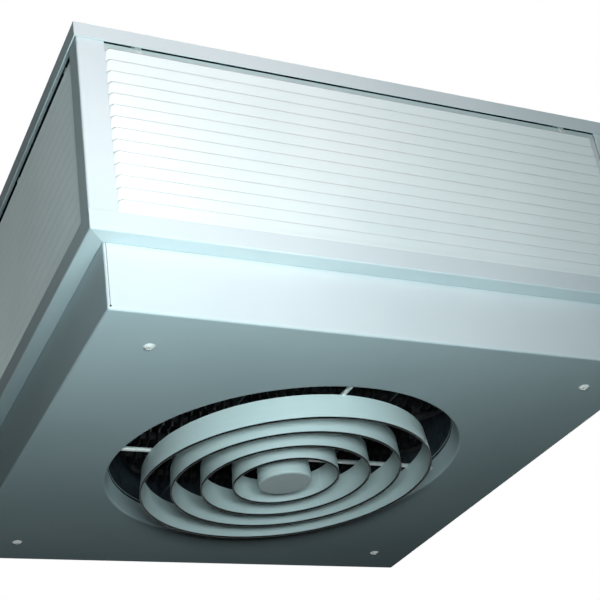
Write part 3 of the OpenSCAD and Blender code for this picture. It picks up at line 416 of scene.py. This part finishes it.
def plated(slot, pale, deep, rough, metal=1.0, gloss=0.5, grain=(1, 1, 1), scale=60):
    """Metal with a soft grain, stretched along the axes that grain says."""
    finish = Finish(slot, Metallic=metal, Specular_IOR_Level=gloss)
    streak = finish.noise(scale, detail=3, spot=finish.place(grain))
    finish.feed("Base Color", finish.between(finish.ease(streak, 0.3, 0.7), pale, deep))
    finish.feed("Roughness", rough + 0.12 * streak)
    finish.bump(streak, depth=0.00001)
    return finish


nickel = plated("bright_nickel", tint(244, 244, 240), tint(226, 226, 222), 0.35, metal=0.3, scale=300)
dress(nickel, "louvre_clips", edge=0.15)

# ---------------------------------------------------------------------------
# Face pan: the deep square pan that closes the heater from below, 1 mm sheet
# with bent edges. Its corners are folded and left open as a hairline seam that
# ends in a relief notch. The face turns up round the outlet into a collar.

PAN_FACE = -291.8
PAN_SHEET = 1.0
PAN_BEND = 2.6
PAN_RIM = LEDGE - 0.4
OUTLET = 192.8
OUTLET_ROLL = 2.4
ROLL_ANGLE = 76
ROLL_STEPS = 4
ROUND_STEPS = 128
COLLAR = 186.0
COLLAR_TOP = -269.8
SEAM_W = 0.5
SEAM_X = PAN_HALF - 2.2 - SEAM_W / 2
NOTCH = 0.9
NOTCH_Z = PAN_FACE + PAN_BEND + NOTCH


def spin_round(section, steps, closed=False):
    """A shape turned about the heater's axis from points of radius and height."""
    shape = bmesh.new()
    points = [shape.verts.new((radius, 0, height)) for radius, height in section]
    edges = [shape.edges.new(pair) for pair in zip(points, points[1:])]
    if closed:
        edges.append(shape.edges.new((points[-1], points[0])))
    bmesh.ops.spin(shape, geom=points + edges, cent=(0, 0, 0), axis=(0, 0, 1), steps=steps,
                   angle=math.tau, use_merge=True)
    bmesh.ops.remove_doubles(shape, verts=shape.verts, dist=0.01)
    bmesh.ops.recalc_face_normals(shape, faces=shape.faces)
    return shape


def on_wall(face):
    """True on the pan's front and rear walls and their bends."""
    return abs(face.normal.y) > 0.3 and abs(face.calc_center_median().y) > PAN_HALF - 2 * PAN_BEND


def score(shape, place, across, wanted):
    """Cuts a line into the front and rear walls, on the faces whose middle is wanted."""
    walls = [face for face in shape.faces if on_wall(face) and wanted(face.calc_center_median())]
    parts = dict.fromkeys(part for face in walls for part in (*face.edges, *face.verts))
    bmesh.ops.bisect_plane(shape, geom=walls + list(parts), dist=0.001,
                           plane_co=place, plane_no=across)


angles = [math.radians(ROLL_ANGLE * step / ROLL_STEPS) for step in range(ROLL_STEPS + 1)]
roll = [(OUTLET - OUTLET_ROLL * math.sin(angle), PAN_FACE + OUTLET_ROLL * (1 - math.cos(angle)))
        for angle in angles]
pan = spin_round(roll + [(COLLAR, COLLAR_TOP)], ROUND_STEPS)
lowest = [vert for vert in pan.verts if vert.co.z < PAN_FACE + 0.01]
rim = {round(math.atan2(vert.co.y, vert.co.x) / math.tau * ROUND_STEPS) % ROUND_STEPS: vert
       for vert in lowest}
# The face is four flat quarters between the outlet's rim and the square's edge.
middles, corners = [], []
for quarter in range(4):
    turn = Matrix.Rotation(quarter * math.pi / 2, 3, "Z")
    middles.append(pan.verts.new(turn @ Vector((PAN_HALF, 0, PAN_FACE))))
    corners.append(pan.verts.new(turn @ Vector((PAN_HALF, PAN_HALF, PAN_FACE))))
for quarter in range(4):
    first = quarter * ROUND_STEPS // 4
    arc = [rim[(first + step) % ROUND_STEPS] for step in range(ROUND_STEPS // 4 + 1)]
    pan.faces.new([middles[quarter], corners[quarter], middles[(quarter + 1) % 4]] + arc[::-1])
foot = [edge for edge in pan.edges
        if min(max(abs(vert.co.x), abs(vert.co.y)) for vert in edge.verts) > PAN_HALF - 0.1]
bmesh.ops.translate(pan, verts=extrude(pan, foot), vec=(0, 0, PAN_RIM - PAN_FACE))
bmesh.ops.recalc_face_normals(pan, faces=pan.faces)
pan.normal_update()
if min(pan.faces, key=lambda face: face.calc_center_median().z).normal.z > 0:
    bmesh.ops.reverse_faces(pan, faces=pan.faces)
bends = [edge for edge in pan.edges
         if len(edge.link_faces) == 2 and edge.calc_face_angle(0) > math.radians(86)]
soften(pan, bends, PAN_BEND, segments=5)
# Beside each corner a hairline is cut out of the front or rear wall, and a notch at its foot.
for way in (-1, 1):
    for off in (NOTCH, SEAM_W / 2, -SEAM_W / 2, -NOTCH):
        score(pan, (way * (SEAM_X + off), 0, 0), (1, 0, 0), lambda spot: way * spot.x > -1)
for height in (NOTCH_Z - NOTCH, NOTCH_Z + NOTCH):
    score(pan, (0, 0, height), (0, 0, 1), lambda spot: abs(abs(spot.x) - SEAM_X) < NOTCH)
open_faces = []
for face in filter(on_wall, pan.faces):
    spot = face.calc_center_median()
    aside = abs(abs(spot.x) - SEAM_X)
    in_seam = aside < SEAM_W / 2 and spot.z > NOTCH_Z - NOTCH
    in_notch = aside < NOTCH and abs(spot.z - NOTCH_Z) < NOTCH
    if in_seam or in_notch:
        open_faces.append(face)
bmesh.ops.delete(pan, geom=open_faces, context="FACES")
bmesh.ops.solidify(pan, geom=pan.faces[:], thickness=PAN_SHEET)
pan_enamel = enamel("pan_enamel", tint(206, 215, 217), tint(199, 209, 212), gloss=0.0)
finish_piece("pan", pan, pan_enamel, "face_pan")

# ---------------------------------------------------------------------------
# Face screws: domed, cross-recessed and bright plated, one near each corner of
# the face.

dress(nickel, "face_screws", edge=0.12)

# ---------------------------------------------------------------------------
# Pan brackets: galvanised channels between the deck and the pan, which take
# the face screws.


def galvanised(slot, pale, deep, metal=0.9):
    """Zinc-coated sheet: dull crystals of zinc a few millimetres wide."""
    finish = Finish(slot, Metallic=metal)
    settings = {"feature": "F1", "voronoi_dimensions": "3D"}
    values = {"Vector": finish.place(), "Scale": 160}
    crystal = finish.add("ShaderNodeTexVoronoi", settings, values, out="Color")
    tone = finish.add("ShaderNodeSeparateColor", {}, {"Color": crystal})
    shade = 0.6 * tone + 0.4 * finish.noise(25, detail=3)
    finish.feed("Base Color", finish.between(shade, pale, deep))
    finish.feed("Roughness", 0.38 + 0.22 * tone)
    finish.bump(finish.noise(90), depth=0.00002)
    return finish


zinc = galvanised("zinc_steel", tint(176, 184, 189), tint(128, 138, 144))
dress(zinc, *(f"pan_bracket_{corner}" for corner in CORNERS), edge=0.3)

# ---------------------------------------------------------------------------
# Diffuser: four rings and a cup of enamelled strip, notched over a cross of
# rods that hangs them in the outlet. Each ring is rolled from strip and butt
# welded, which leaves a fine seam inside it.

RING_TOP = -279.8
RING_FOOT = -307.8
RING_HEIGHT = RING_TOP - RING_FOOT
RING_SHEET = 1.6
RING_STEPS = 144
RING_EDGE = 0.5
RING_LEAN = 1.0
BEAD = (0.7, 1.3, RING_HEIGHT - 1.4)
BEAD_SUNK = 0.05
# Painted shade: the band in mm above a ring's foot over which it fades to near black.
FOOT_SHADE = (1.3, 1.9)
# Radius; radius across and along as it hangs; slip in X and in Y; seam's angle; taper.
RINGS = ((157.0, 157.3, 158.5, 2.0, 1.5, 42, 3.6),
         (123.8, 124.6, 124.2, 1.4, 0.0, 44, 1.6),
         (90.6, 91.9, 91.7, 0.9, 0.0, 42, 1.6),
         (57.4, 57.4, 59.6, 0.2, -1.8, 21, 1.4))


def diffuser_enamel(shade_foot):
    """Bright enamel on rolled strip; a ring's lowest edge fades to near black, a painted shade for its
    down-facing foot.
    """
    finish = Finish("diffuser_enamel", Specular_IOR_Level=0.2)
    cloud = finish.ease(finish.noise(8, detail=3), 0.3, 0.7)
    coat = finish.between(cloud, tint(242, 249, 248), tint(234, 243, 242))
    brushed = finish.noise(40, spot=finish.place((1, 1, 30)))
    coat = finish.between(0.3 * brushed, coat, tint(200, 218, 218))
    # Painted shade: the foot of each ring is darkened to near black.
    if shade_foot:
        low, high = ((RING_FOOT + rise) / 1000 for rise in FOOT_SHADE)
        foot_shade_share = 1 - finish.ease(finish.axis("Z"), low, high)
        coat = finish.between(foot_shade_share, coat, tint(12, 14, 15))
    finish.feed("Base Color", coat)
    finish.feed("Roughness", 0.38 + 0.12 * finish.noise(20))
    finish.bump(finish.noise(600, detail=1), depth=0.00003)
    return finish


def sharp_edges(shape):
    """The edges with a right angle or nearly one."""
    return [edge for edge in shape.edges if edge.calc_face_angle(0) > math.radians(57)]


ring_enamel = diffuser_enamel(shade_foot=True)
for number, (outer, across, along, slip_x, slip_y, seam, taper) in enumerate(RINGS, start=1):
    inner = outer - RING_SHEET
    section = [(inner, RING_TOP), (outer, RING_TOP), (outer, RING_FOOT), (inner, RING_FOOT)]
    ring = spin_round(section, RING_STEPS, closed=True)
    soften(ring, sharp_edges(ring), RING_EDGE, segments=2)
    bead = bmesh.new()
    bmesh.ops.create_cube(bead, size=1)
    bmesh.ops.scale(bead, vec=BEAD, verts=bead.verts)
    bmesh.ops.translate(bead, vec=(inner - BEAD_SUNK, 0, RING_FOOT + RING_HEIGHT / 2), verts=bead.verts)
    turn_round(bead, seam)
    join(ring, bead)
    # A ring tapers upwards and hangs loosely: it is not quite upright, round or centred.
    for vert in ring.verts:
        rise = (vert.co.z - RING_FOOT) / RING_HEIGHT
        vert.co.xy *= 1 - rise * taper / outer
        vert.co.x += RING_LEAN * rise
    bmesh.ops.scale(ring, vec=(across / outer, along / outer, 1), verts=ring.verts)
    bmesh.ops.translate(ring, vec=(slip_x, slip_y, 0), verts=ring.verts)
    finish_piece(f"ring_{number}", ring, ring_enamel, f"diffuser_ring_{number}")

CUP_FOOT = -308.8
CUP_FOOT_R = 29.6
CUP_TOP_R = 27.4
CUP_STEPS = 96
CUP_BEND = 3.0

section = [(0, CUP_FOOT), (CUP_FOOT_R, CUP_FOOT), (CUP_TOP_R, RING_TOP),
           (CUP_TOP_R - RING_SHEET, RING_TOP), (CUP_FOOT_R - RING_SHEET, CUP_FOOT + RING_SHEET),
           (0, CUP_FOOT + RING_SHEET)]
cup = spin_round(section, CUP_STEPS)
rims = [edge for edge in sharp_edges(cup) if abs(edge.verts[0].co.z - CUP_FOOT) < 0.1]
soften(cup, rims, CUP_BEND, segments=5)
soften(cup, sharp_edges(cup), RING_EDGE, segments=2)
finish_piece("hub_cup", cup, diffuser_enamel(shade_foot=False), "diffuser_hub")

bright = plated("bright_steel", tint(214, 216, 218), tint(178, 181, 185), 0.28, scale=300)
dress(nickel, "diffuser_spider")
dress(bright, "spider_nuts", edge=0.15)

# ---------------------------------------------------------------------------
# Fan deck and drum: galvanised sheet, coloured dark as painted shade for the
# heater's dark inside. The deck is the floor of the fan's room and rolls down
# into the fan's inlet; the drum carries the air over the elements to the
# outlet. Self-tapping screws hold them.

# Painted shade: the deck, drum and straps are coloured dark blue-grey for the shaded inside.
zinc_in_shade = galvanised("shade_dark_zinc", tint(74, 82, 90), tint(50, 57, 64), metal=0.2)
dress(zinc_in_shade, "fan_deck", "heater_drum")
dress(bright, "sheet_screws", edge=0.15)

# ---------------------------------------------------------------------------
# Heating elements: finned hairpins of oxidised steel, with brass terminals, on
# two zinc-coated straps under the deck, coloured dark as painted shade.

sheath = plated("element_sheath", tint(48, 47, 48), tint(26, 26, 27), 0.6, metal=0.1, gloss=0.1,
                scale=120)
dress(sheath, *(f"heating_element_{number}" for number in range(1, 4)))
dress(zinc_in_shade, "element_strap_left", "element_strap_right", edge=0.2)
brass = plated("brass_fitting", tint(206, 176, 104), tint(168, 138, 76), 0.3, scale=200)
dress(brass, "element_nuts", edge=0.2)

# ---------------------------------------------------------------------------
# Fan: five rolled aluminium blades, coloured dark as painted shade for the
# heater's dark inside, riveted to a spider on a hub that grips the motor's shaft.

# Painted shade: the fan's aluminium is coloured dark for the shaded inside.
shaded_aluminium = plated("fan_aluminium", tint(112, 114, 117), tint(86, 89, 93), 0.5, metal=0.4,
                   grain=(1, 8, 1))
dress(shaded_aluminium, "fan_spider", *(f"fan_blade_{number}" for number in range(1, 6)), edge=0.25)
dress(bright, "fan_hub", edge=0.3)

# ---------------------------------------------------------------------------
# Motor: a shaded-pole motor in a black enamelled shell, on a galvanised
# bracket above the fan.

motor_enamel = enamel("motor_enamel", tint(40, 41, 44), tint(30, 31, 33), rough=0.35)
dress(motor_enamel, "motor_shell", "motor_end_cap", edge=0.5)
copper = plated("winding", tint(176, 104, 62), tint(122, 66, 36), 0.4, scale=240)
dress(copper, "motor_stator")
dress(zinc, "motor_bracket", edge=0.3)
dress(bright, "motor_rotor", "motor_shaft", "motor_bearings", edge=0.2)
dress(bright, "motor_screws", edge=0.15)

# ---------------------------------------------------------------------------
# Controls: a galvanised box behind the fan holds the terminal block and the
# contactor; the thermal cut-outs stand beside the elements.


def moulding(slot, pale, deep, rough=0.45):
    """Moulded plastic with a fine texture."""
    finish = Finish(slot)
    finish.feed("Base Color", finish.between(finish.noise(30), pale, deep))
    finish.feed("Roughness", rough + 0.1 * finish.noise(200))
    finish.bump(finish.noise(1200, detail=1), depth=0.00002)
    return finish


dress(zinc, "control_box", "control_box_cover", edge=0.3)
black = moulding("black_moulding", tint(44, 44, 46), tint(30, 30, 32))
dress(black, "terminal_block", "contactor_body", "limit_switch", "fan_delay_switch", edge=0.4)
nylon = moulding("plunger_moulding", tint(218, 212, 196), tint(200, 194, 176))
dress(nylon, "contactor_plunger", edge=0.4)
red = moulding("red_button", tint(196, 40, 32), tint(170, 28, 24), rough=0.3)
dress(red, "reset_button", edge=0.4)
leads = moulding("lead_insulation", tint(186, 62, 44), tint(160, 46, 34), rough=0.5)
dress(leads, "internal_leads")

# ---------------------------------------------------------------------------
# The studio: the heater hangs in the open, with no ceiling over it and a pale
# floor far below. One close lamp low in front on the left is the main light, a
# small warm one fills the front, and the other four light the other sides.

FLOOR_DEPTH = 4
FLOOR_HALF = 60


def seen(nodes):
    """1 where the camera, gloss or glass shows a surface, 0 where it only gives light."""
    camera, glossy, clear = (nodes.add("ShaderNodeLightPath", out=kind)
                             for kind in ("Is Camera Ray", "Is Glossy Ray", "Is Transmission Ray"))
    return camera.math("MAXIMUM", glossy).math("MAXIMUM", clear)


paper = Finish("floor_paper", Base_Color=tint(150, 150, 150), Roughness=0.9,
               Specular_IOR_Level=0.0, Emission_Strength=1.0)
paper.feed("Emission Color", paper.between(seen(paper), tint(0, 0, 0), tint(225, 226, 227)))
sheet = bmesh.new()
bmesh.ops.create_grid(sheet, x_segments=1, y_segments=1, size=FLOOR_HALF)
bmesh.ops.translate(sheet, verts=sheet.verts, vec=(0, 0, -FLOOR_DEPTH))
floor_mesh = bpy.data.meshes.new("floor")
sheet.to_mesh(floor_mesh)
sheet.free()
floor_mesh.materials.append(paper.material)
floor = bpy.data.objects.new("floor", floor_mesh)
bpy.context.scene.collection.objects.link(floor)

COOL = (0.95, 0.98, 1.0)


def lamp(name, spot, aim, size, colour, power, spread=math.pi):
    """A soft lamp at a spot, turned to its aim."""
    light = bpy.data.lights.new(name, "AREA")
    light.shape = "RECTANGLE"
    light.size, light.size_y = size
    light.color = colour
    light.energy = power
    light.spread = spread
    stand = bpy.data.objects.new(name, light)
    turn = (Vector(aim) - Vector(spot)).to_track_quat("-Z", "Y").to_matrix().to_4x4()
    stand.matrix_world = Matrix.Translation(spot) @ turn
    stand.visible_camera = False
    bpy.context.scene.collection.objects.link(stand)


lamp("key_lamp", (-0.36, -0.92, -0.58), (-0.33, -0.75, 0.25), size=(0.5, 0.4),
     colour=(0.75, 0.97, 1.0), power=12.9)
lamp("front_lamp", (-0.25, -0.8, -0.12), (-0.25, -0.3, -0.12), size=(0.3, 0.25),
     colour=(1.0, 0.5, 0.5), power=1.25)
lamp("right_lamp", (5, 1, 0.3), (0.3, 0, -0.05), size=(1, 1), colour=COOL, power=5, spread=0.4)
lamp("rear_lamp", (0.8, 5, 0.3), (0, 0.3, -0.05), size=(1, 1), colour=COOL, power=5, spread=0.4)
lamp("top_lamp", (0, 0, 3), (0, 0, 0), size=(1, 1), colour=COOL, power=1.2, spread=0.4)
lamp("left_lamp", (-1.2, 1.5, -0.1), (-0.3, 0.2, -0.1), size=(0.5, 0.5),
     colour=(0.8, 1.0, 1.0), power=1.6)

# The world is white where it is seen, and gives hardly any light.
world = bpy.data.worlds.new("studio")
bpy.context.scene.world = world
world.use_nodes = True
sky = Nodes(world.node_tree, "Background")
sky.shader.inputs["Color"].default_value = (1, 1, 1, 1)
levels = {"Value": seen(sky), "To Min": 0.012, "To Max": 1.0}
sky.feed("Strength", sky.add("ShaderNodeMapRange", {}, levels))

# The camera looks up at the heater from in front of it and to its left.
view = bpy.data.cameras.new("camera")
view.lens = 79.876
view.sensor_width = 36
view.shift_x = 0.05266
view.shift_y = 0.06355
camera = bpy.data.objects.new("camera", view)
camera.location = (-0.60587, -1.17898, -0.85178)
camera.rotation_euler = (math.radians(118.80796), math.radians(7.20522), math.radians(-23.43894))
bpy.context.scene.collection.objects.link(camera)
bpy.context.scene.camera = camera
bpy.context.scene.view_settings.view_transform = "Standard"
